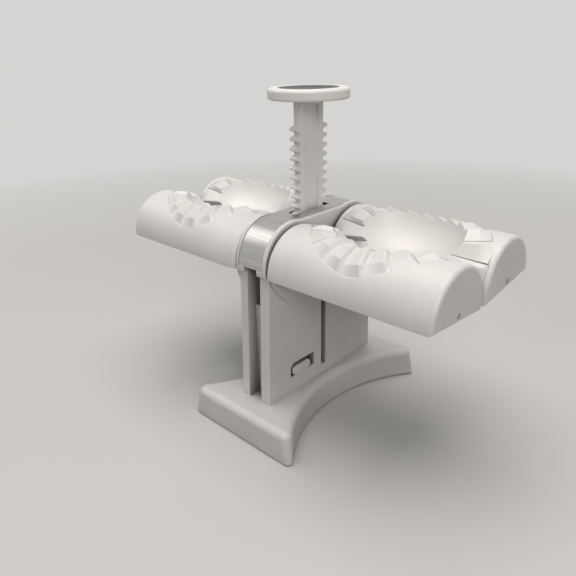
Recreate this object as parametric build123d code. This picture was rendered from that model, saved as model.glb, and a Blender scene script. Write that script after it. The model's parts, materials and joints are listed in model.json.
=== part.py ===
from build123d import *
import os
from math import asin, cos, pi, radians, sin, sqrt, tan

# Double press for filled dumplings, in millimetres.
# The origin is on the table under the middle of the base: X runs along the two arms,
# the front is towards -Y, and Z is up. The plunger is drawn in its raised position.

# Base
base_depth = 148.0
base_end_width = 98.6
base_waist_width = 41.2
base_top = 22.0
base_draft = 2.0
base_corner = 3.4
base_top_corner = 5.6
base_top_round = 5.0
base_wall = 2.6
base_rib = 1.8
base_rib_bottom = 6.0
base_rib_pitch = 20.0
base_ribs_each_way = 3
foot_drop = 1.0
foot_radius = 6.5
foot_seat_depth = 2.0
foot_seat_wall = 1.8
foot_round = 0.6
foot_x = 26.0
foot_y = 61.5

# Column
column_width = 25.4
channel_width = 11.2
column_foot_depth = 113.4
column_axle_depth = 105.8
column_edge_round = 1.2
web_setback = 6.1
web_thickness = 4.0
web_top = 88.0
head_z = 117.0
rim_radius = 26.7
rim_width = 2.2
rim_valley = 142.6
rim_foot_z = 113.4

# Cover strip
cover_radius = 26.2
cover_thickness = 0.8
cover_hole_depth = 35.0
cover_hole_width = 7.0

# Roller pairs
axle_y = 29.36
axle_z = 114.57
mould_radius = 27.2
mould_start = 14.0
mould_end = 125.0
mould_start_round = 2.8
mould_end_round = 2.5
flat_drop = 3.85
flat_tilt = 5.7
flat_opening = 3.0
shell_wall = 1.8
end_wall = 2.8
shell_rib = 1.8
shell_rib_count = 4

# Crimping pattern on each roller, measured along the round surface
pleat_middle = 69.0
fold_angle = 40.0
pleat_half_length = 52.4
pleat_reach = 51.3
pleat_shape = 1.6
pleat_depth = 0.5
pleat_crest = 2.0
pleat_inner = 20.0
pleat_pitch = 17.5
pleat_phase = 0.25
pleat_count = 14
pleat_root = 0.8
pleat_overrun = 0.3
pleat_start_angle = -65.0
# Along one fold, from the pocket to the rim of the crescent: share of its length, share of its height
pleat_rise = [(0, 0.6), (0.25, 0.9), (0.5, 1.0), (0.78, 0.95), (1.0, -0.25)]
# Across one fold: its feet and its crest, as shares of its width
pleat_foot = 0.48
pleat_crest_from = 0.22
pleat_crest_to = 0.32

# Filling pocket
pocket_angle = 58.0
pocket_round = 30.0
pocket_depth = 16.0
pocket_half_length = 33.0
pocket_wall = 2.0

# Hubs and axles
hub_disc_radius = 22.4
journal_radius = 10.9
socket_wall = 2.5
axle_square = 8.0
axle_end = 21.0
axle_chamfer = 0.5
hub_end_wall = 3.0
mould_screw_radius = 2.0
mould_screw_head = 3.9
mould_screw_head_height = 2.6
mould_screw_length = 13.0
washer_radius = 6.0
washer_thickness = 1.0

# Rack and gears
tooth_module = 1.9
pressure_angle = 20.0
gear_teeth = 17
flank_points = 5
gear_width = 6.0
gear_hub_radius = 9.0
addendum = 1.9
gear_dedendum = 2.3
backlash = 0.12
rack_teeth = 17
rack_top_tooth = 195.0
rack_tip_round = 0.6
bar_thickness = 5.0
bar_depth = 22.0
bar_groove_width = 13.5
bar_web = 1.6
bar_bottom = 94.5
bar_top = 214.2
stroke = 68.0

# Foot pin and its slots
pin_radius = 2.5
pin_length = 25.0
pin_z = 99.5
pin_seat = 0.02
pin_chamfer = 0.4
guide_rib_bottom = 50.0
guide_rib_top = 140.0
guide_rib_clearance = 0.3

# Knob
knob_radius = 25.3
knob_bottom = 211.8
knob_top = 218.5
knob_round = 2.2
knob_under_round = 1.32
inlay_radius = 18.6
inlay_thickness = 1.3
inlay_recess = 1.6
inlay_round = 0.4
knob_screw_radius = 1.25
knob_screw_head = 2.4
knob_screw_head_height = 1.4
knob_screw_length = 14.0
knob_screw_y = 8.9

# Lock slider and its window
window_front = -34.8
window_back = -10.3
window_bottom = 33.7
window_top = 43.7
window_corner = 4.5
button_length = 18.2
button_height = 6.7
button_front = -32.9
button_bottom = 33.9
button_proud = 0.4
button_ribs = 5
button_round = 0.5
grip_radius = 0.6
grip_length = 4.15
grip_sunk = 0.1
lock_plate_thickness = 2.3
lock_plate_height = 13.0
lock_plate_front = -37.5
lock_shoulder = -13.0
lock_travel = 4.0
lock_overlap = 1.2
lock_rail = 2.0
lock_lip = 1.2
lock_lip_thickness = 1.0
lock_lip_setback = 2.0
lock_arm_gap = 0.15
lock_arm_drop = 3.0

# Screws
driver_slot = 0.7
screw_head_round = 0.4
base_screw_radius = 1.5
base_screw_head = 3.0
base_screw_head_height = 2.2
base_screw_length = 20.0
base_screw_y = 40.0
base_boss_radius = 4.0
base_boss_bottom = 12.0
side_screw_radius = 1.5
side_screw_head = 3.0
side_screw_head_height = 2.2
side_screw_sunk = 0.3
side_screw_bite = 5.0
side_boss_radius = 3.4
side_screw_spots = [(41.0, 53.0), (41.0, 82.0), (44.0, 132.6)]

# Clearances
running = 0.1
sliding = 0.2
seat = 0.05
pin_clearance = 0.08
disc_gap = 0.2

# How far one piece of a solid runs into the next, and how far a cut runs past everything
join = 0.5
beyond = 200.0

# Sizes that follow from those above
half_column = column_width / 2
half_channel = channel_width / 2
rack_pitch = pi * tooth_module
gear_radius = tooth_module * gear_teeth / 2
gear_tip = gear_radius + addendum
groove_top = guide_rib_top + stroke + sliding
rack_line = axle_y - gear_radius
rack_root = bar_depth / 2
hub_radius = axle_square / sqrt(2) + socket_wall
hub_end = axle_end + hub_end_wall
hub_bore = journal_radius + running
journal_start = half_channel + 2 * sliding
slot_half = pin_radius + pin_clearance
slot_bottom = pin_z - stroke - pin_radius
slot_top = pin_z + pin_radius
ledge_radius = cover_radius - cover_thickness - seat
recess_edge = half_column - rim_width
column_draft = (column_foot_depth - column_axle_depth) / 2 / (axle_z - base_top)
screw_spots = [(way * y, z) for y, z in side_screw_spots for way in (-1, 1)]


def x_rod(radius, start, end, y=0.0, z=0.0):
    return Pos((start + end) / 2, y, z) * Rot(0, 90, 0) * Cylinder(radius, abs(end - start))


def block(x, y, z):
    size = [high - low for low, high in (x, y, z)]
    return Pos(*[(low + high) / 2 for low, high in (x, y, z)]) * Box(*size)


def side_extrude(profile, start, end):
    """Pushes a profile drawn in Y and Z along X."""
    placed = Plane(origin=(start, 0, 0), x_dir=(0, 1, 0), z_dir=(1, 0, 0)) * profile
    return extrude(placed, end - start)


def base_outline(inset, corner):
    end = base_end_width / 2 - inset
    depth = base_depth / 2 - inset
    waist = base_waist_width / 2 - inset
    outline = Wire([
        Line((-end, -depth), (end, -depth)),
        ThreePointArc((end, -depth), (waist, 0), (end, depth)),
        Line((end, depth), (-end, depth)),
        ThreePointArc((-end, depth), (-waist, 0), (-end, -depth)),
    ])
    face = make_face(outline)
    return fillet(face.vertices(), corner)


def foot_spots():
    return [(x, y) for x in (-foot_x, foot_x) for y in (-foot_y, foot_y)]


def base_screw_spots():
    middle = (half_channel + half_column) / 2
    return [(x, y) for x in (-middle, middle) for y in (-base_screw_y, base_screw_y)]


def make_base():
    lean = tan(radians(base_draft))
    bottom = Pos(0, 0, foot_drop) * base_outline(0, base_corner)
    top = Pos(0, 0, base_top) * base_outline((base_top - foot_drop) * lean, base_top_corner)
    body = loft([bottom, top], ruled=True)
    body = fillet(body.faces().sort_by(Axis.Z)[-1].edges(), base_top_round)
    mouth = Pos(0, 0, foot_drop) * base_outline(base_wall, base_corner)
    inside = extrude(mouth, base_top - foot_drop - base_wall, taper=base_draft)
    rib_height = 2 * (base_top - base_rib_bottom)
    for x, y in foot_spots():
        post = Pos(x, y, base_top / 2) * Cylinder(foot_radius + foot_seat_wall, base_top)
        inside = inside - post
    for x, y in base_screw_spots():
        boss = Pos(x, y, base_top) * Cylinder(base_boss_radius, 2 * (base_top - base_boss_bottom))
        inside = inside - boss
    for rib in range(-base_ribs_each_way, base_ribs_each_way + 1):
        y = rib * base_rib_pitch
        inside = inside - Pos(0, y, base_top) * Box(base_end_width, base_rib, rib_height)
    inside = inside - Pos(0, 0, base_top) * Box(base_rib, base_depth, rib_height)
    body = body - inside
    for x, y in foot_spots():
        seat_cut = Pos(x, y, foot_drop) * Cylinder(foot_radius + seat, 2 * foot_seat_depth)
        body = body - seat_cut
    for x, y in base_screw_spots():
        body = body - Pos(x, y, base_top) * Cylinder(base_screw_radius, 2 * base_top)
        body = body - Pos(x, y, 0) * Cylinder(base_screw_head + sliding, 2 * base_boss_bottom)
    return body


def make_feet():
    height = foot_drop + foot_seat_depth
    pads = []
    for x, y in foot_spots():
        pad = Pos(x, y, height / 2) * Cylinder(foot_radius, height)
        pads.append(fillet(pad.edges().group_by(Axis.Z)[0], foot_round))
    return pads


def pan_screw(radius, head_radius, head_height, length):
    """A screw along Z with its seat at the origin and its shank pointing down."""
    head = Pos(0, 0, head_height / 2) * Cylinder(head_radius, head_height)
    head = fillet(head.edges().group_by(Axis.Z)[-1], head_height * screw_head_round)
    shank = Pos(0, 0, -length / 2) * Cylinder(radius, length)
    cross = Box(head_radius, driver_slot, head_height) + Box(driver_slot, head_radius, head_height)
    return head + shank - Pos(0, 0, head_height) * cross


def make_base_screws():
    screw = pan_screw(base_screw_radius, base_screw_head, base_screw_head_height, base_screw_length)
    return [Pos(x, y, base_boss_bottom) * Rot(180, 0, 0) * screw for x, y in base_screw_spots()]


def column_side():
    """Side view of the tapered post below the head, in Y and Z."""
    foot = column_foot_depth / 2
    shoulder = foot - column_draft * (head_z - base_top)
    corners = [(-foot, base_top), (foot, base_top), (shoulder, head_z), (-shoulder, head_z)]
    return make_face(Polyline(*corners, close=True))


def head_profile(radius, valley):
    """Side view of the column with its two round shoulders, in Y and Z."""
    profile = column_side() + Pos(0, (head_z + valley) / 2) * Rectangle(2 * axle_y, valley - head_z)
    for y in (-axle_y, axle_y):
        profile = profile + Pos(y, head_z) * Circle(radius)
    return profile


def rim_profile():
    """Side view of the head's rims, which end in a step above the post."""
    below = Pos(0, rim_foot_z - beyond / 2) * Rectangle(beyond, beyond)
    return head_profile(rim_radius, rim_valley) - below


def ledge_cut():
    """Room for the cover strip on the inner part of both panels."""
    over = block((-recess_edge, recess_edge), (-beyond, beyond), (head_z, beyond))
    return over - side_extrude(head_profile(ledge_radius, head_z + ledge_radius), -beyond, beyond)


def plain_panel():
    """The right-hand wall, before the lock window."""
    post = side_extrude(column_side(), half_channel, half_column)
    edges = post.faces().sort_by(Axis.X)[-1].edges()
    post = fillet([edge for edge in edges if abs(edge.center().Y) > axle_y], column_edge_round)
    head = side_extrude(rim_profile(), half_channel, half_column)
    rims = head.faces().sort_by(Axis.X)[-1].edges().group_by(Axis.Z)[1:]
    head = fillet([edge for group in rims for edge in group], column_edge_round)
    wall = post + head
    rib_face = bar_web / 2 + sliding
    rib_half = bar_groove_width / 2 - guide_rib_clearance
    rib = block((rib_face, half_channel + join), (-rib_half, rib_half), (guide_rib_bottom, guide_rib_top))
    wall = wall + rib - ledge_cut()
    for y in (-axle_y, axle_y):
        wall = wall - x_rod(hub_bore, 0, beyond, y, axle_z)
    slot = block((0, beyond), (-slot_half, slot_half), (slot_bottom, slot_top))
    return wall - slot


def lock_window():
    width = window_back - window_front
    height = window_top - window_bottom
    middle = ((window_front + window_back) / 2, (window_bottom + window_top) / 2)
    opening = Pos(*middle) * Rectangle(width, height)
    front_top = opening.vertices().sort_by(lambda v: v.Y - v.X)[-1]
    opening = fillet(front_top, window_corner)
    return side_extrude(opening, half_channel - join, half_column + join)


def lock_plate_span():
    middle = button_bottom + button_height / 2
    return middle - lock_plate_height / 2, middle + lock_plate_height / 2


def lock_rails():
    low, high = lock_plate_span()
    inner = half_channel - 2 * sliding - lock_plate_thickness
    lip_face = inner - lock_lip_thickness
    front = lock_plate_front - sliding - lock_lip_thickness
    lip_back = -(rack_line + addendum + lock_lip_setback)
    rails = []
    for edge, way in ((low - sliding, -1), (high + sliding, 1)):
        span = sorted((edge, edge + way * lock_rail))
        rails.append(block((inner, half_channel + join), (front, lock_shoulder), span))
        lip = sorted((edge - way * lock_lip, edge + way * lock_rail))
        rails.append(block((lip_face, inner), (front, lip_back), lip))
    return rails


def make_right_panel():
    panel = plain_panel() - lock_window() + lock_rails()
    for y, z in screw_spots:
        panel = panel - x_rod(side_screw_radius, 0, half_channel + side_screw_bite, y, z)
    return drill_foot(panel)


def drill_foot(panel):
    for x, y in base_screw_spots():
        depth = base_screw_length - (base_top - base_boss_bottom)
        panel = panel - Pos(x, y, base_top) * Cylinder(base_screw_radius, 2 * depth)
    return panel


def make_left_panel():
    """The left-hand wall, which also carries the front and rear webs."""
    panel = mirror(plain_panel(), Plane.YZ)
    outer = column_axle_depth / 2 - web_setback
    for way in (-1, 1):
        span = sorted((way * (outer - web_thickness), way * outer))
        panel = panel + block((-half_channel - join, half_channel), span, (base_top, web_top))
    for y, z in screw_spots:
        panel = panel + x_rod(side_boss_radius, -half_channel - join, half_channel, y, z)
    for y, z in screw_spots:
        panel = panel - x_rod(side_screw_radius + seat, -beyond, beyond, y, z)
        panel = panel - x_rod(side_screw_head + sliding, -beyond, -half_column + side_screw_head_height, y, z)
    return drill_foot(panel)


def make_side_screws():
    seat_x = -half_column + side_screw_head_height
    length = half_channel + side_screw_bite - seat_x
    screw = pan_screw(side_screw_radius, side_screw_head, side_screw_head_height - side_screw_sunk, length)
    return [Pos(seat_x, y, z) * Rot(0, -90, 0) * screw for y, z in screw_spots]


def make_cover():
    width = 2 * (recess_edge - seat)
    outside = head_profile(cover_radius, head_z + cover_radius)
    inside = head_profile(cover_radius - cover_thickness, head_z + cover_radius - cover_thickness)
    strip = side_extrude(outside, -width / 2, width / 2) - side_extrude(inside, -width, width)
    strip = strip & block((-width, width), (-beyond, beyond), (head_z + seat, beyond))
    hole = block(
        (-cover_hole_width / 2, cover_hole_width / 2),
        (-cover_hole_depth / 2, cover_hole_depth / 2),
        (head_z, beyond),
    )
    return strip - hole


def in_gear_plane(angle, radius):
    return Vector(radius * cos(angle), radius * sin(angle))


def gear_profile():
    """Involute spur gear, with a gap on the mesh line next to the nearest rack tooth."""
    base_circle = gear_radius * cos(radians(pressure_angle))
    root = gear_radius - gear_dedendum
    roll = tan(radians(pressure_angle)) - radians(pressure_angle)
    half_tooth = pi / gear_teeth / 2 - backlash / gear_radius
    flank = (gear_tip - base_circle) / (flank_points - 1)
    radii = [base_circle + flank * step for step in range(flank_points)]
    nearest = round((rack_top_tooth - axle_z) / rack_pitch)
    phase = (rack_top_tooth - nearest * rack_pitch - axle_z) / gear_radius + pi / gear_teeth
    edges = []
    ends = []
    for tooth in range(gear_teeth):
        middle = phase + 2 * pi * tooth / gear_teeth
        low_side = []
        high_side = []
        for radius in radii:
            angle = sqrt(max(radius ** 2 / base_circle ** 2 - 1, 0))
            width = half_tooth + roll - (angle - asin(sqrt(max(1 - (base_circle / radius) ** 2, 0))))
            low_side.append(in_gear_plane(middle - width, radius))
            high_side.append(in_gear_plane(middle + width, radius))
        foot_width = half_tooth + roll
        low_foot = in_gear_plane(middle - foot_width, root)
        high_foot = in_gear_plane(middle + foot_width, root)
        edges.append(Line(low_foot, low_side[0]))
        edges.append(Spline(*low_side))
        edges.append(ThreePointArc(low_side[-1], in_gear_plane(middle, gear_tip), high_side[-1]))
        edges.append(Spline(*high_side[::-1]))
        edges.append(Line(high_side[0], high_foot))
        ends.append((low_foot, high_foot, middle))
    for tooth in range(gear_teeth):
        following = (tooth + 1) % gear_teeth
        middle = ends[tooth][2] + pi / gear_teeth
        edges.append(ThreePointArc(ends[tooth][1], in_gear_plane(middle, root), ends[following][0]))
    return make_face(edges)


def make_front_gear():
    gear = side_extrude(gear_profile(), -gear_width / 2, gear_width / 2)
    gear = gear + x_rod(gear_hub_radius, -journal_start, journal_start)
    size = axle_square + 2 * seat
    gear = gear - Box(beyond, size, size)
    return Pos(0, -axle_y, axle_z) * gear


def make_front_axle():
    axle = Box(2 * axle_end, axle_square, axle_square)
    axle = chamfer(axle.edges().filter_by(Axis.X), axle_chamfer)
    tapped = axle_end - mould_screw_length
    for way in (-1, 1):
        axle = axle - x_rod(mould_screw_radius, way * tapped, way * beyond)
    return Pos(0, -axle_y, axle_z) * axle


def make_front_mould_screws():
    length = washer_thickness + hub_end_wall + mould_screw_length - 1
    screw = pan_screw(mould_screw_radius, mould_screw_head, mould_screw_head_height, length)
    start = hub_end + washer_thickness
    return [
        Pos(start, -axle_y, axle_z) * Rot(0, 90, 0) * screw,
        Pos(-start, -axle_y, axle_z) * Rot(0, -90, 0) * screw,
    ]


def make_front_mould_washers():
    washers = []
    for way in (-1, 1):
        disc = x_rod(washer_radius, way * hub_end, way * (hub_end + washer_thickness))
        disc = disc - x_rod(mould_screw_radius + seat, -beyond, beyond)
        washers.append(Pos(0, -axle_y, axle_z) * disc)
    return washers


def on_roller(angle, radius, x=0.0):
    """A point of the roller, by its angle from the side that faces the other roller."""
    return Vector(x, radius * cos(angle), radius * sin(angle))


def half_round(radius, start, end, drop):
    below = Rot(-flat_tilt, 0, 0) * Pos(0, 0, -drop - radius) * Box(2 * beyond, 4 * radius, 2 * radius)
    return x_rod(radius, start, end) - below


def pleat_area(floor, grow):
    """The crescent that is let into the roller, from its floor radius to above the surface."""
    top = mould_radius + 2 * pleat_crest
    steps = (0, 15, 30, 45, 58, 68, 76, 82, 86, 88.5)
    reaches = [mould_radius * radians(pleat_start_angle * share) for share in (1, 0.5)]
    reaches += [pleat_reach * sin(radians(step)) for step in steps]
    sections = []
    for reach in reaches:
        angle = radians(fold_angle) + reach / mould_radius
        share = max(reach, 0) / pleat_reach
        half = pleat_half_length * (1 - share ** pleat_shape) ** (1 / pleat_shape)
        place = Plane(
            origin=on_roller(angle, (floor + top) / 2, pleat_middle),
            x_dir=(1, 0, 0),
            z_dir=(0, -sin(angle), cos(angle)),
        )
        sections.append(place * Rectangle(2 * (half + grow), top - floor))
    return loft(sections)


def pleat(turn):
    """One saw-tooth fold that fans out from the middle of the pocket."""
    across = sin(radians(turn))
    along = cos(radians(turn))
    if along > 0:
        share = (abs(across) / pleat_half_length) ** pleat_shape + (along / pleat_reach) ** pleat_shape
        outer = share ** (-1 / pleat_shape)
    else:
        outer = pleat_half_length / abs(across)
    floor = -pleat_depth
    sections = []
    for share, height in pleat_rise:
        reach = pleat_inner + (outer - pleat_inner) * share
        angle = radians(fold_angle) + reach * along / mould_radius
        tangent = Vector(0, -sin(angle), cos(angle))
        width = reach * radians(pleat_pitch)
        crest = height * pleat_crest
        outline = Polyline(
            (-pleat_foot * width, floor - 2 * join),
            (pleat_foot * width, floor - 2 * join),
            (pleat_foot * width, floor),
            (pleat_crest_to * width, crest),
            (pleat_crest_from * width, crest),
            (-pleat_foot * width, floor),
            close=True,
        )
        place = Plane(
            origin=on_roller(angle, mould_radius, pleat_middle + reach * across),
            x_dir=Vector(1, 0, 0) * along - tangent * across,
            z_dir=Vector(1, 0, 0) * across + tangent * along,
        )
        sections.append(place * make_face(outline))
    return loft(sections, ruled=True)


def pocket(grow):
    """The hollow for the filling, as part of a long round body of revolution."""
    centre = mould_radius + pocket_round - pocket_depth
    offset = (centre - mould_radius) / pocket_round
    half = pocket_half_length / sqrt(1 - offset ** 2)
    arc = EllipticalCenterArc((0, 0), half + grow, pocket_round + grow, start_angle=0, arc_size=180)
    ball = revolve(make_face([arc, Line(arc @ 1, arc @ 0)]), Axis.X)
    return Pos(*on_roller(radians(pocket_angle), centre, pleat_middle)) * ball


def mould_cavity():
    radius = mould_radius - pleat_depth - shell_wall
    start = mould_start + end_wall
    end = mould_end - end_wall
    cavity = half_round(radius, start, end, flat_drop + flat_opening) - pocket(pocket_wall)
    for rib in range(1, shell_rib_count + 1):
        x = start + (end - start) * rib / (shell_rib_count + 1)
        cavity = cavity - Pos(x, 0, 0) * Box(shell_rib, 4 * radius, 4 * radius)
    return cavity


def make_pleats():
    """All the folds of one roller, trimmed to the crescent and to the pocket."""
    room = pleat_area(mould_radius - pleat_depth - pleat_root, pleat_overrun)
    room = room & half_round(2 * mould_radius, mould_start, mould_end, flat_drop)
    room = room - pocket(0)
    folds = []
    for place in range(pleat_count):
        turn = pleat_pitch * (place - pleat_count / 2 + pleat_phase)
        folds.append(pleat(turn) & room)
    return folds


def make_mould_blank():
    """A half roller about the X axis, on the +X side, with the other roller towards +Y."""
    shell = half_round(mould_radius, mould_start, mould_end, flat_drop)
    shell = fillet(shell.faces().sort_by(Axis.X)[-1].edges(), mould_end_round)
    near_end = shell.faces().sort_by(Axis.X)[0].edges().filter_by(GeomType.CIRCLE)
    shell = fillet(near_end, mould_start_round)
    shell = shell - pleat_area(mould_radius - pleat_depth, 0) - pocket(0) - mould_cavity()
    shell = shell + x_rod(hub_disc_radius, half_column + disc_gap, mould_start + end_wall)
    shell = shell + x_rod(journal_radius, journal_start, mould_start)
    shell = shell + x_rod(hub_radius, mould_start, hub_end)
    size = axle_square + 2 * seat
    shell = shell - block((0, axle_end + seat), (-size / 2, size / 2), (-size / 2, size / 2))
    return shell - x_rod(mould_screw_radius + seat, 0, beyond)


def rack_side():
    """Rack teeth that stand on the front edge of the bar, in Y and Z."""
    slope = tan(radians(pressure_angle))
    half_pitch_line = rack_pitch / 4 - backlash
    tip = rack_line + addendum
    half_tip = half_pitch_line - addendum * slope
    half_root = half_pitch_line + (rack_line - rack_root) * slope
    teeth = []
    for place in range(rack_teeth):
        z = rack_top_tooth - place * rack_pitch
        outline = Polyline(
            (-rack_root + join, z - half_root),
            (-rack_root, z - half_root),
            (-tip, z - half_tip),
            (-tip, z + half_tip),
            (-rack_root, z + half_root),
            (-rack_root + join, z + half_root),
            close=True,
        )
        tooth = make_face(outline)
        tips = tooth.vertices().group_by(Axis.X)[0]
        teeth.append(fillet(tips, rack_tip_round))
    return teeth


def make_rack_bar():
    half = bar_thickness / 2
    bar = block((-half, half), (-bar_depth / 2, bar_depth / 2), (bar_bottom, bar_top))
    front = [side_extrude(tooth, -half, half) for tooth in rack_side()]
    rear = [mirror(tooth, Plane.XZ) for tooth in front]
    bar = bar + front + rear
    groove_half = bar_groove_width / 2
    for way in (-1, 1):
        span = sorted((way * bar_web / 2, way * beyond))
        bar = bar - block(span, (-groove_half, groove_half), (0, groove_top))
    bar = bar - x_rod(pin_radius + pin_seat, -beyond, beyond, 0, pin_z)
    for y in (-knob_screw_y, knob_screw_y):
        bar = bar - Pos(0, y, bar_top) * Cylinder(knob_screw_radius, 2 * knob_screw_length)
    return bar


def knob_screw_seat():
    return knob_top - inlay_recess - knob_screw_head_height - seat


def make_knob():
    height = knob_top - knob_bottom
    knob = Pos(0, 0, knob_bottom + height / 2) * Cylinder(knob_radius, height)
    knob = fillet(knob.edges().group_by(Axis.Z)[-1], knob_round)
    knob = fillet(knob.edges().group_by(Axis.Z)[0], knob_under_round)
    knob = knob - Pos(0, 0, knob_top) * Cylinder(inlay_radius + sliding, 2 * inlay_recess)
    half = bar_thickness / 2 + seat
    depth = bar_depth / 2 + seat
    knob = knob - block((-half, half), (-depth, depth), (0, bar_top))
    for y in (-knob_screw_y, knob_screw_y):
        knob = knob - Pos(0, y, knob_top) * Cylinder(knob_screw_radius + seat, 4 * height)
        head_room = Pos(0, y, knob_top) * Cylinder(knob_screw_head + sliding, 2 * (knob_top - knob_screw_seat()))
        knob = knob - head_room
    return knob


def make_knob_inlay():
    low = knob_top - inlay_recess
    disc = Pos(0, 0, low + inlay_thickness / 2) * Cylinder(inlay_radius, inlay_thickness)
    return fillet(disc.edges().group_by(Axis.Z)[-1], inlay_round)


def make_knob_screws():
    length = knob_screw_seat() - bar_top + knob_screw_length - 1
    screw = pan_screw(knob_screw_radius, knob_screw_head, knob_screw_head_height, length)
    return [Pos(0, y, knob_screw_seat()) * screw for y in (-knob_screw_y, knob_screw_y)]


def make_foot_pin():
    pin = x_rod(pin_radius, -pin_length / 2, pin_length / 2, 0, pin_z)
    return chamfer(pin.edges().filter_by(GeomType.CIRCLE), pin_chamfer)


def make_lock_slider():
    low, high = lock_plate_span()
    outer = half_channel - sliding
    inner = outer - lock_plate_thickness
    tip = lock_overlap - lock_travel
    pin_top = pin_z - stroke + pin_radius
    plate = block((inner, outer), (lock_plate_front, lock_shoulder), (low, high))
    arm = block((inner, outer), (lock_shoulder - join, tip), (pin_top + lock_arm_gap, high - lock_arm_drop))
    middle = (button_front + button_length / 2, button_bottom + button_height / 2)
    button = Pos(*middle) * SlotOverall(button_length, button_height)
    face = half_column + button_proud
    body = plate + arm + side_extrude(button, outer - join, face)
    body = fillet(body.faces().sort_by(Axis.X)[-1].edges(), button_round)
    step = (button_length - button_height) / (button_ribs - 1)
    for rib in range(button_ribs):
        y = button_front + button_height / 2 + rib * step
        grip = Pos(face - grip_sunk, y, middle[1]) * Cylinder(grip_radius, grip_length)
        body = body + grip
    return body


def write_parts():
    os.makedirs("parts", exist_ok=True)
    here = Pos(0, -axle_y, axle_z)
    blank = make_mould_blank()
    pleats = make_pleats()
    turned = [mirror(fold, Plane(origin=(pleat_middle, 0, 0), z_dir=(1, 0, 0))) for fold in pleats]
    front_right = here * (blank + pleats)
    front_left = mirror(here * (blank + turned), Plane.YZ)
    front_gear = make_front_gear()
    front_axle = make_front_axle()
    front_screws = make_front_mould_screws()
    front_washers = make_front_mould_washers()
    half_turn = Rot(0, 0, 180)
    nodes = {
        "base": make_base(),
        "rubber_feet": make_feet(),
        "base_screws": make_base_screws(),
        "left_panel": make_left_panel(),
        "right_panel": make_right_panel(),
        "side_screws": make_side_screws(),
        "top_cover": make_cover(),
        "rack_bar": make_rack_bar(),
        "press_knob": make_knob(),
        "knob_inlay": make_knob_inlay(),
        "knob_screws": make_knob_screws(),
        "foot_pin": make_foot_pin(),
        "lock_slider": make_lock_slider(),
        "front_right_mould": front_right,
        "front_left_mould": front_left,
        "rear_left_mould": half_turn * front_right,
        "rear_right_mould": half_turn * front_left,
        "front_gear": front_gear,
        "rear_gear": mirror(front_gear, Plane.XZ),
        "front_axle": front_axle,
        "rear_axle": half_turn * front_axle,
        "front_mould_screws": front_screws,
        "rear_mould_screws": [half_turn * screw for screw in front_screws],
        "front_mould_washers": front_washers,
        "rear_mould_washers": [half_turn * washer for washer in front_washers],
    }
    for name, shape in nodes.items():
        if isinstance(shape, list):
            shape = Compound(children=[one.solid() for one in shape])
        export_step(shape, f"parts/{name}.step")


write_parts()
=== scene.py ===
# %% [markdown]
# # A dumpling press in Blender
# This lesson dresses a finished CAD model of a table-top dumpling press. The CAD already holds every
# piece at its real size: the column, the push-down rack bar, two pairs of half rollers and the base.
# Blender's work is the finish of each surface, the studio and the camera.
# A good order is: load the frame, write a few small helpers, make one finish for each real material,
# hand the finishes out, then build the studio and look at the result.

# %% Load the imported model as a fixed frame
import json
from math import cos, pi, sin

import bpy
from mathutils import Matrix, Vector

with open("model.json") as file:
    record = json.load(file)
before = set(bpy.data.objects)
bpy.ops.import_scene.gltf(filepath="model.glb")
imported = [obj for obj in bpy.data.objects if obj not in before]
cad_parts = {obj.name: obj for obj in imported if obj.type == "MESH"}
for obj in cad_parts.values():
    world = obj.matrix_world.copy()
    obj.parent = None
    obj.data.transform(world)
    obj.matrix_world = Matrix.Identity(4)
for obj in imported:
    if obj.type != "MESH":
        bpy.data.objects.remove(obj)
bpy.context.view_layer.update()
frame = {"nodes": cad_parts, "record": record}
print("nodes:", len(frame["nodes"]))

# %% [markdown]
# ## Small helpers
# Designers give colours as sRGB hex values, while Blender's shaders work in linear light, so one
# function turns the first into the second. Another adds a shader node: it sets the node's options and
# fills its sockets with numbers, colours or links. With it, each material below reads as a short
# recipe. Two more open and close such a recipe.

# %% Colour and node helpers
MM = 0.001


def linear(hex_colour):
    """Turns an sRGB hex value such as #DCDAD7 into the linear RGBA that shaders expect."""
    channels = [int(hex_colour[start:start + 2], 16) / 255 for start in (1, 3, 5)]
    light = [c / 12.92 if c <= 0.04045 else ((c + 0.055) / 1.055) ** 2.4 for c in channels]
    return (*light, 1.0)


def add_node(tree, kind, sockets=None, **options):
    """Adds one node, sets its options, and fills its sockets with values or links."""
    node = tree.nodes.new(kind)
    for option, value in options.items():
        setattr(node, option, value)
    for socket, value in (sockets or {}).items():
        if isinstance(value, bpy.types.NodeSocket):
            tree.links.new(value, node.inputs[socket])
        else:
            node.inputs[socket].default_value = value
    return node


def new_finish(name):
    """Makes an empty material and returns it with its node tree."""
    material = bpy.data.materials.new(name)
    material.use_nodes = True
    material.node_tree.nodes.clear()
    return material, material.node_tree


def close_finish(tree, shader):
    """Sends a shader to the material's output."""
    add_node(tree, "ShaderNodeOutputMaterial", {"Surface": shader.outputs[0]})


def per_mm(size):
    """A noise scale at which one cell of the pattern is about this many millimetres wide."""
    return 1 / (size * MM)


print("white plastic in linear light:", [round(c, 3) for c in linear("#DCDAD7")[:3]])

# %% [markdown]
# ## Worn edges, and corners with dust and painted shade
# On a moulded or machined piece the eye finds the edges first: they are slightly round, and handling
# polishes them. The Bevel node gives the normal that a rounded edge would have. Where that normal
# turns away from the flat one there is an edge, so the two together make an edge mask. The Ambient
# Occlusion node does the opposite job: it finds inner corners, where dust collects and where the
# finishes below paint shade into the colour. Both read only the shape, so they look the same from
# every side.

# %% Masks for edges and corners
# An edge starts where the two normals' dot product falls below 0.99, and is whole at 0.82.
EDGE_START, EDGE_WHOLE = 0.99, 0.82
# A corner starts where less than 0.75 of the sky is open, and is whole at 0.15.
CORNER_START, CORNER_WHOLE = 0.75, 0.15


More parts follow.
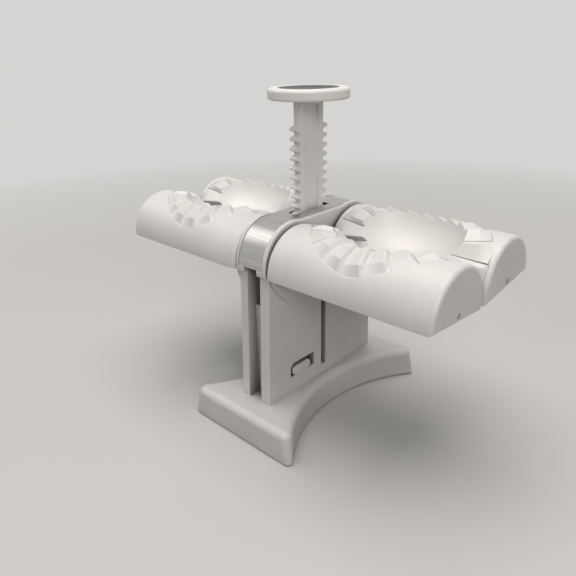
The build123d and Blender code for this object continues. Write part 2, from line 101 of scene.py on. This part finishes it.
def edge_mask(tree, width):
    """Returns the rounded normal and a mask that is 1 on convex edges about this wide, in millimetres."""
    rounded = add_node(tree, "ShaderNodeBevel", {"Radius": width * MM}, samples=6)
    flat = add_node(tree, "ShaderNodeNewGeometry")
    both = {0: rounded.outputs["Normal"], 1: flat.outputs["Normal"]}
    match = add_node(tree, "ShaderNodeVectorMath", both, operation="DOT_PRODUCT")
    spread = {"Value": match.outputs["Value"], "From Min": EDGE_START, "From Max": EDGE_WHOLE}
    mask = add_node(tree, "ShaderNodeMapRange", spread)
    return rounded.outputs["Normal"], mask.outputs["Result"]


def corner_mask(tree, reach):
    """Returns a mask that is 1 deep in inner corners, seen over this reach in millimetres."""
    shade = add_node(tree, "ShaderNodeAmbientOcclusion", {"Distance": reach * MM}, samples=6)
    spread = {"Value": shade.outputs["AO"], "From Min": CORNER_START, "From Max": CORNER_WHOLE}
    mask = add_node(tree, "ShaderNodeMapRange", spread)
    return mask.outputs["Result"]


print("masks ready: edges, corners")

# %% [markdown]
# ## Patterns, mixes and bumps
# One noise serves every finish. Its size is given in real millimetres, and a stretch draws it out into
# scratches or lines. Two small functions then set how far a pattern reaches, one for the noise and one
# for the masks. The Mix node's colour inputs have the numbers 6 and 7, and its colour output 2.

# %% Patterns, mixes and bumps
def tint(tree, factor, first, second):
    """Mixes two colours, each a hex value or a link."""
    ends = [linear(end) if isinstance(end, str) else end for end in (first, second)]
    sockets = {"Factor": factor, 6: ends[0], 7: ends[1]}
    return add_node(tree, "ShaderNodeMix", sockets, data_type="RGBA").outputs[2]


def blotches(tree, size, detail=3.0, stretch=(1, 1, 1)):
    """A cloud pattern whose cells are this many millimetres wide, drawn in the part's own space."""
    place = add_node(tree, "ShaderNodeTexCoord")
    scaled = add_node(
        tree, "ShaderNodeMapping", {"Vector": place.outputs["Object"], "Scale": stretch}
    )
    return add_node(
        tree,
        "ShaderNodeTexNoise",
        {"Vector": scaled.outputs[0], "Scale": per_mm(size), "Detail": detail, "Roughness": 0.55},
    ).outputs["Fac"]


def span(tree, value, low, high, from_low=0.3, from_high=0.7):
    """Stretches a 0 to 1 pattern to a real range, such as a range of roughness."""
    sockets = {"Value": value, "From Min": from_low, "From Max": from_high, "To Min": low, "To Max": high}
    return add_node(tree, "ShaderNodeMapRange", sockets).outputs["Result"]


def share(tree, mask, most, start=0.0):
    """Weakens a mask, so that it starts at this level and reaches this share at its strongest."""
    return span(tree, mask, 0.0, most, start, 1.0)


def clouded(tree, size, pale, shade):
    """Two tones in clouds of this many millimetres."""
    return tint(tree, span(tree, blotches(tree, size), 0.0, 1.0), pale, shade)


def bumped(tree, height, depth, strength, normal):
    """Returns the normal of a surface that a pattern raises by up to this many millimetres."""
    sockets = {"Height": height, "Distance": depth * MM, "Strength": strength, "Normal": normal}
    return add_node(tree, "ShaderNodeBump", sockets).outputs["Normal"]


print("patterns ready: blotches, clouds and bumps, all in millimetres")

# %% [markdown]
# ## ABS, injection moulded with a spark-eroded texture
# The press is almost all one plastic: a warm white ABS with a fine satin grain that the mould's
# spark-eroded steel leaves on it. ABS has an IOR near 1.54 and a roughness of about 0.35 to 0.5 when
# it is textured like this. Three things keep it from looking like plain paint: the grain, a slow
# change of tone where the wall thickness changes, and edges that handling has polished. The real grain
# is about 0.1 mm, too fine to show here, so it is drawn at 0.35 mm. A small corner mask paints dust
# and some shade into small corners. A second, wider one paints shade into deep recesses, such as the
# slots and the channel in the column. The rollers and the rack bar are separate mouldings, and each
# has its own white: the rollers' white has more painted shade in its pleat grooves, and the rack
# bar's white is lighter, partly as painted light.

# %% Textured white ABS
ABS_IOR = 1.54
# Painted shade in deep recesses starts at this level of its wide corner mask.
HOLLOW_SHADE_START = 0.42
# The sizes are in millimetres.
HOLLOW_SHADE_REACH = 45.0
DUST_AND_SHADE_REACH = 9.0
HANDLED_EDGE = 0.5
WALL_CLOUDS = 38.0
SPECKS = 2.2
GLOSS_CLOUDS = 14.0
SINK_WAVES, SINK_DEPTH = 16.0, 0.05
GRAIN_DEPTH = 0.02


def moulded_abs(name, pale, shade, grain=0.35, gloss=0.40, corners=0.20, hollow_shade=0.92):
    """A satin ABS between two tones, with its grain in millimetres and its dust and painted shade as shares.
    """
    material, tree = new_finish(name)
    normal, edge = edge_mask(tree, HANDLED_EDGE)
    corner = corner_mask(tree, DUST_AND_SHADE_REACH)
    tone = clouded(tree, WALL_CLOUDS, pale, shade)
    fine = tint(tree, span(tree, blotches(tree, SPECKS, 5.0), 0.0, 0.10), tone, "#CFCAC3")
    # Dust in small corners, deepened with painted shade: the colour darkens where little light reaches.
    dust_and_shade = tint(tree, share(tree, corner, corners), fine, "#A5A098")
    # Painted shade: the wide corner mask darkens deep recesses, such as slots and the channel, where little
    # light reaches.
    hollow = share(tree, corner_mask(tree, HOLLOW_SHADE_REACH), hollow_shade, HOLLOW_SHADE_START)
    deep = tint(tree, hollow, dust_and_shade, "#35322F")
    worn = tint(tree, share(tree, edge, 0.35), deep, "#F3F1ED")
    satin = span(tree, blotches(tree, GLOSS_CLOUDS), gloss - 0.05, gloss + 0.07)
    waves = bumped(tree, blotches(tree, SINK_WAVES, 1.0), SINK_DEPTH, 0.35, normal)
    grainy = bumped(tree, blotches(tree, grain, 2.0), GRAIN_DEPTH, 0.5, waves)
    shader = add_node(
        tree,
        "ShaderNodeBsdfPrincipled",
        {"Base Color": worn, "Roughness": satin, "IOR": ABS_IOR, "Normal": grainy},
    )
    close_finish(tree, shader)
    return material


white_abs = moulded_abs("white_abs_textured", "#DCDAD7", "#D4D2CE")
# The rollers' larger corner share paints shade along the steps of their pleats.
roller_abs = moulded_abs(
    "roller_abs_textured", "#E0DEDB", "#D8D6D3", grain=0.3, gloss=0.38, corners=0.45, hollow_shade=0.5
)
# A lighter white for the knob and rack bar: partly a whiter plastic, partly painted light standing in for
# the stronger light on them; they get less dust and painted shade.
painted_light_bar_abs = moulded_abs("bar_abs_painted_light", "#ECEAE7", "#E5E3DF", corners=0.12, hollow_shade=0.15)
print("made:", white_abs.name, roller_abs.name, painted_light_bar_abs.name)

# %% [markdown]
# ## Acetal for the gears
# Small gears are moulded in acetal, which is whiter and waxier than ABS: it needs no grease against
# the rack. Its IOR is about 1.48, and its surface is smooth with a soft sheen.

# %% Acetal
def moulded_acetal():
    material, tree = new_finish("acetal_moulded")
    normal, edge = edge_mask(tree, 0.3)
    tone = clouded(tree, 9.0, "#E9E7E1", "#DCD9D1")
    worn = tint(tree, share(tree, edge, 0.4), tone, "#F6F5F1")
    soft = span(tree, blotches(tree, 5.0), 0.3, 0.42)
    shader = add_node(
        tree,
        "ShaderNodeBsdfPrincipled",
        {"Base Color": worn, "Roughness": soft, "IOR": 1.48, "Normal": normal},
    )
    close_finish(tree, shader)
    return material


gear_acetal = moulded_acetal()
print("made:", gear_acetal.name)

# %% [markdown]
# ## Brushed stainless steel for the cover strip
# The strip over the column's head is thin stainless sheet, brushed along its width and then bent. The
# brush leaves long scratches a few tenths of a millimetre apart. A noise stretched along X by some
# hundred times draws them: it varies the roughness and lifts the surface a little, so that highlights
# smear across the brushing. A metal keeps the default IOR, and its colour is its reflection.

# %% Brushed steel
# The sizes are in millimetres.
SCRATCH, SCRATCH_LENGTH = 0.28, 45.0
SCRATCH_DEPTH = 0.015
BAND = 2.4


def brushed_steel():
    material, tree = new_finish("stainless_brushed")
    normal, edge = edge_mask(tree, 0.3)
    scratches = blotches(tree, SCRATCH, 4.0, (SCRATCH / SCRATCH_LENGTH, 1, 1))
    broad = blotches(tree, BAND, 3.0, (BAND / SCRATCH_LENGTH, 1, 1))
    tone = tint(tree, span(tree, scratches, 0.0, 1.0), "#D2D1CE", "#B5B4B1")
    banded = tint(tree, span(tree, broad, 0.0, 0.35), tone, "#A09F9C")
    worn = tint(tree, share(tree, edge, 0.5), banded, "#E2E1DE")
    rough = span(tree, scratches, 0.20, 0.36)
    brushed = bumped(tree, scratches, SCRATCH_DEPTH, 0.55, normal)
    shader = add_node(
        tree,
        "ShaderNodeBsdfPrincipled",
        {"Base Color": worn, "Metallic": 1.0, "Roughness": rough, "Normal": brushed},
    )
    close_finish(tree, shader)
    return material


cover_steel = brushed_steel()
print("made:", cover_steel.name, "scratches", SCRATCH, "mm apart")

# %% [markdown]
# ## Drawn bar and zinc-plated screws
# The axles and the foot pin are drawn steel: fine lines run along the bar. The screws and washers are
# plated with zinc, which is a little bluer, and cloudy rather than lined.

# %% Drawn bar and zinc
# The sizes are in millimetres.
DRAWN_LINE, DRAWN_LENGTH = 0.4, 30.0


def drawn_steel():
    material, tree = new_finish("steel_drawn_bar")
    normal, edge = edge_mask(tree, 0.3)
    lines = blotches(tree, DRAWN_LINE, 3.0, (DRAWN_LINE / DRAWN_LENGTH, 1, 1))
    tone = tint(tree, span(tree, lines, 0.0, 1.0), "#B4B2AE", "#8F8D8A")
    worn = tint(tree, share(tree, edge, 0.5), tone, "#DAD8D4")
    shader = add_node(
        tree,
        "ShaderNodeBsdfPrincipled",
        {"Base Color": worn, "Metallic": 1.0, "Roughness": span(tree, lines, 0.26, 0.4), "Normal": normal},
    )
    close_finish(tree, shader)
    return material


def zinc_plate():
    material, tree = new_finish("zinc_plated_steel")
    normal, edge = edge_mask(tree, 0.25)
    clouds = blotches(tree, 1.6, 4.0)
    tone = tint(tree, span(tree, clouds, 0.0, 1.0), "#BFC2C4", "#9A9DA0")
    worn = tint(tree, share(tree, edge, 0.45), tone, "#E0E1E1")
    shader = add_node(
        tree,
        "ShaderNodeBsdfPrincipled",
        {"Base Color": worn, "Metallic": 1.0, "Roughness": span(tree, clouds, 0.28, 0.45), "Normal": normal},
    )
    close_finish(tree, shader)
    return material


bar_steel = drawn_steel()
screw_zinc = zinc_plate()
print("made:", bar_steel.name, screw_zinc.name)

# %% [markdown]
# ## Satin dark ABS for the disc in the knob
# The disc that hides the knob's screws is ABS in dark grey. The camera looks across it at a very flat
# angle, where even a dark plastic mirrors the pale studio, so its satin roughness of about 0.4 matters
# more than its colour: it keeps the disc dark. Fingers leave faint smears, which show only as changes
# of roughness.

# %% Dark satin disc
def satin_dark_abs():
    material, tree = new_finish("dark_abs_satin")
    normal, edge = edge_mask(tree, 0.3)
    tone = clouded(tree, 12.0, "#2C2E31", "#33363A")
    worn = tint(tree, share(tree, edge, 0.5), tone, "#7A7D80")
    smears = span(tree, blotches(tree, 7.0, 5.0, (1.0, 0.35, 1.0)), 0.36, 0.48)
    coat = {"Roughness": smears, "IOR": ABS_IOR, "Specular IOR Level": 0.3}
    sockets = {"Base Color": worn, **coat, "Normal": normal}
    close_finish(tree, add_node(tree, "ShaderNodeBsdfPrincipled", sockets))
    return material


disc_abs = satin_dark_abs()
print("made:", disc_abs.name)

# %% [markdown]
# ## Rubber for the feet
# The feet are soft grey rubber, matt and slightly grainy, with a low sheen. Rubber's IOR is about
# 1.52, and its roughness is high.

# %% Grey rubber
def foot_rubber():
    material, tree = new_finish("grey_rubber_moulded")
    normal, edge = edge_mask(tree, 0.4)
    tone = clouded(tree, 3.0, "#8D8B87", "#7B7975")
    worn = tint(tree, share(tree, edge, 0.3), tone, "#A9A7A3")
    matt = bumped(tree, blotches(tree, 0.4, 3.0), 0.04, 0.6, normal)
    shader = add_node(
        tree,
        "ShaderNodeBsdfPrincipled",
        {"Base Color": worn, "Roughness": 0.82, "IOR": 1.52, "Normal": matt},
    )
    close_finish(tree, shader)
    return material


grey_rubber = foot_rubber()
print("made:", grey_rubber.name)

# %% [markdown]
# ## Hand the finishes out
# The imported model says which material slot each piece belongs to. A dictionary from slot to finish
# covers all of them. The four half rollers then get the slightly smoother ABS, because dough has to
# come off them, with more painted shade in their pleat grooves. The rack bar and its knob get the
# whitest one, whose extra lightness is partly painted light.

# %% Assign materials by slot
finishes = {
    "white_plastic": white_abs,
    "gear_plastic": gear_acetal,
    "cover_steel": cover_steel,
    "inlay_plastic": disc_abs,
    "foot_rubber": grey_rubber,
    "screw_steel": screw_zinc,
    "shaft_steel": bar_steel,
}


def dress(node, finish):
    """Puts one finish on a CAD piece and leaves its shape alone."""
    mesh = frame["nodes"][node].data
    mesh.materials.clear()
    mesh.materials.append(finish)


for row in frame["record"]["subparts"]:
    dress(row["node"], finishes[row["material_slot"]])
for node in frame["nodes"]:
    if node.endswith("_mould"):
        dress(node, roller_abs)
for node in ("rack_bar", "press_knob"):
    dress(node, painted_light_bar_abs)

# %% [markdown]
# ## The studio
# The press stands on a pale floor under one large overhead softbox, as in a product photograph. A
# smaller one on the left is what the bent steel strip shows as its bright streak, and a lower one in
# front on the right lights the upright faces, the knob and the rack bar, while the rollers shade the
# column. The camera sees the surroundings at one fixed pale tone, and so do the rays that metal and
# gloss send back, while the object is lit by a dim sky: the Light Path node keeps these two jobs apart.
# Near the object the floor is real and takes its shadow. It throws back less light than its pale tone
# would, because the photographed press stands on a dark table. Further out, where the lamps no longer
# reach, the camera sees the floor fade into the backdrop, so there is no horizon.

# %% Rays that see the backdrop
BACKDROP = "#D6D4D2"


def showing_ray(tree):
    """Is 1 for rays that show the surroundings: the camera's, and those off gloss or through glass."""
    path = add_node(tree, "ShaderNodeLightPath")
    either = {0: path.outputs["Is Camera Ray"], 1: path.outputs["Is Glossy Ray"]}
    first = add_node(tree, "ShaderNodeMath", either, operation="MAXIMUM")
    every = {0: first.outputs[0], 1: path.outputs["Is Transmission Ray"]}
    return add_node(tree, "ShaderNodeMath", every, operation="MAXIMUM").outputs[0]


print("backdrop in linear light:", [round(c, 3) for c in linear(BACKDROP)[:3]])

# %% Floor
FLOOR_COLOURS = ("#CFCDCA", "#CAC8C5")
FLOOR_BOUNCE = "#858380"
# The clouds are in millimetres, and the floor's reach in metres.
FLOOR_CLOUDS = 400.0
FLOOR_HALF = 20.0
FADE_START, FADE_END = 0.3, 0.95


def studio_floor():
    mesh = bpy.data.meshes.new("studio_floor")
    signs = ((-1, -1), (1, -1), (1, 1), (-1, 1))
    mesh.from_pydata([(x * FLOOR_HALF, y * FLOOR_HALF, 0) for x, y in signs], [], [(0, 1, 2, 3)])
    floor = bpy.data.objects.new("studio_floor", mesh)
    bpy.context.scene.collection.objects.link(floor)
    material, tree = new_finish("pale_floor")
    shown = clouded(tree, FLOOR_CLOUDS, *FLOOR_COLOURS)
    showing = showing_ray(tree)
    tone = tint(tree, showing, FLOOR_BOUNCE, shown)
    lit = add_node(tree, "ShaderNodeBsdfPrincipled", {"Base Color": tone, "Roughness": 0.9})
    plain = add_node(tree, "ShaderNodeEmission", {"Color": linear(BACKDROP), "Strength": 1.0})
    place = add_node(tree, "ShaderNodeTexCoord")
    far = add_node(tree, "ShaderNodeVectorMath", {0: place.outputs["Object"]}, operation="LENGTH")
    fade = span(tree, far.outputs["Value"], 0.0, 1.0, FADE_START, FADE_END)
    seen = add_node(tree, "ShaderNodeMath", {0: fade, 1: showing}, operation="MULTIPLY")
    ends = {0: seen.outputs[0], 1: lit.outputs[0], 2: plain.outputs[0]}
    close_finish(tree, add_node(tree, "ShaderNodeMixShader", ends))
    mesh.materials.append(material)


studio_floor()
print("floor:", 2 * FLOOR_HALF, "m across, plain beyond", FADE_END, "m")

# %% World and lamps
SKY_LIGHT, SKY_STRENGTH = "#E4E8EC", 0.28
LAMP_AIM = Vector((0.0, 0.0, 0.12))
# Each lamp's place and side in metres, its brightness and its colour.
LAMPS = {
    "overhead_softbox": ((0.0, -0.02, 1.30), 1.1, 3.2, "#FFFBF6"),
    "left_softbox": ((-0.95, -0.35, 0.95), 0.6, 1.5, "#FFFDFA"),
    "right_softbox": ((0.90, -0.85, 0.80), 0.6, 5.4, "#FFFBF6"),
}


def studio_world():
    world = bpy.data.worlds.new("pale_studio")
    bpy.context.scene.world = world
    world.use_nodes = True
    tree = world.node_tree
    tree.nodes.clear()
    seen = add_node(tree, "ShaderNodeBackground", {"Color": linear(BACKDROP), "Strength": 1.0})
    lit = add_node(tree, "ShaderNodeBackground", {"Color": linear(SKY_LIGHT), "Strength": SKY_STRENGTH})
    ends = {0: showing_ray(tree), 1: lit.outputs[0], 2: seen.outputs[0]}
    mixed = add_node(tree, "ShaderNodeMixShader", ends)
    add_node(tree, "ShaderNodeOutputWorld", {"Surface": mixed.outputs[0]})


def softbox(name, place, side, brightness, colour):
    """A square lamp aimed at the object. Its face shows this brightness in a mirror."""
    data = bpy.data.lights.new(name, "AREA")
    data.size = side
    data.energy = brightness * pi * side * side
    data.color = linear(colour)[:3]
    lamp = bpy.data.objects.new(name, data)
    lamp.location = place
    lamp.rotation_euler = (LAMP_AIM - Vector(place)).to_track_quat("-Z", "Y").to_euler()
    bpy.context.scene.collection.objects.link(lamp)


studio_world()
for name, lamp in LAMPS.items():
    softbox(name, *lamp)

# %% [markdown]
# ## The camera
# The photograph's viewpoint was worked out from the object's own edges: where the camera stood, which
# way it looked, how far it leaned and how long its lens was. Yaw turns away from +Y towards -X, pitch
# is negative when the camera looks down, and roll leans the picture.

# %% Camera
CAMERA_PLACE = Vector((233.95, -270.31, 242.62)) * MM
CAMERA_YAW = 0.756
CAMERA_PITCH = -0.414
CAMERA_ROLL = -0.023
PICTURE_SIDE = 576
FOCAL_PIXELS = 555.6
SENSOR = 36.0
NEAREST = 0.01


def photo_camera():
    data = bpy.data.cameras.new("photo_camera")
    data.sensor_width = SENSOR
    data.lens = FOCAL_PIXELS / PICTURE_SIDE * SENSOR
    data.clip_start = NEAREST
    camera = bpy.data.objects.new("photo_camera", data)
    ahead = Vector((
        -sin(CAMERA_YAW) * cos(CAMERA_PITCH),
        cos(CAMERA_YAW) * cos(CAMERA_PITCH),
        sin(CAMERA_PITCH),
    ))
    level_right = Vector((cos(CAMERA_YAW), sin(CAMERA_YAW), 0))
    level_up = level_right.cross(ahead)
    right = cos(CAMERA_ROLL) * level_right + sin(CAMERA_ROLL) * level_up
    up = -sin(CAMERA_ROLL) * level_right + cos(CAMERA_ROLL) * level_up
    turn = Matrix((right, up, -ahead)).transposed()
    camera.matrix_world = Matrix.Translation(CAMERA_PLACE) @ turn.to_4x4()
    bpy.context.scene.collection.objects.link(camera)
    bpy.context.scene.camera = camera
    return camera


camera = photo_camera()
bpy.context.scene.view_settings.view_transform = "Standard"
print("lens:", round(camera.data.lens, 1), "mm")
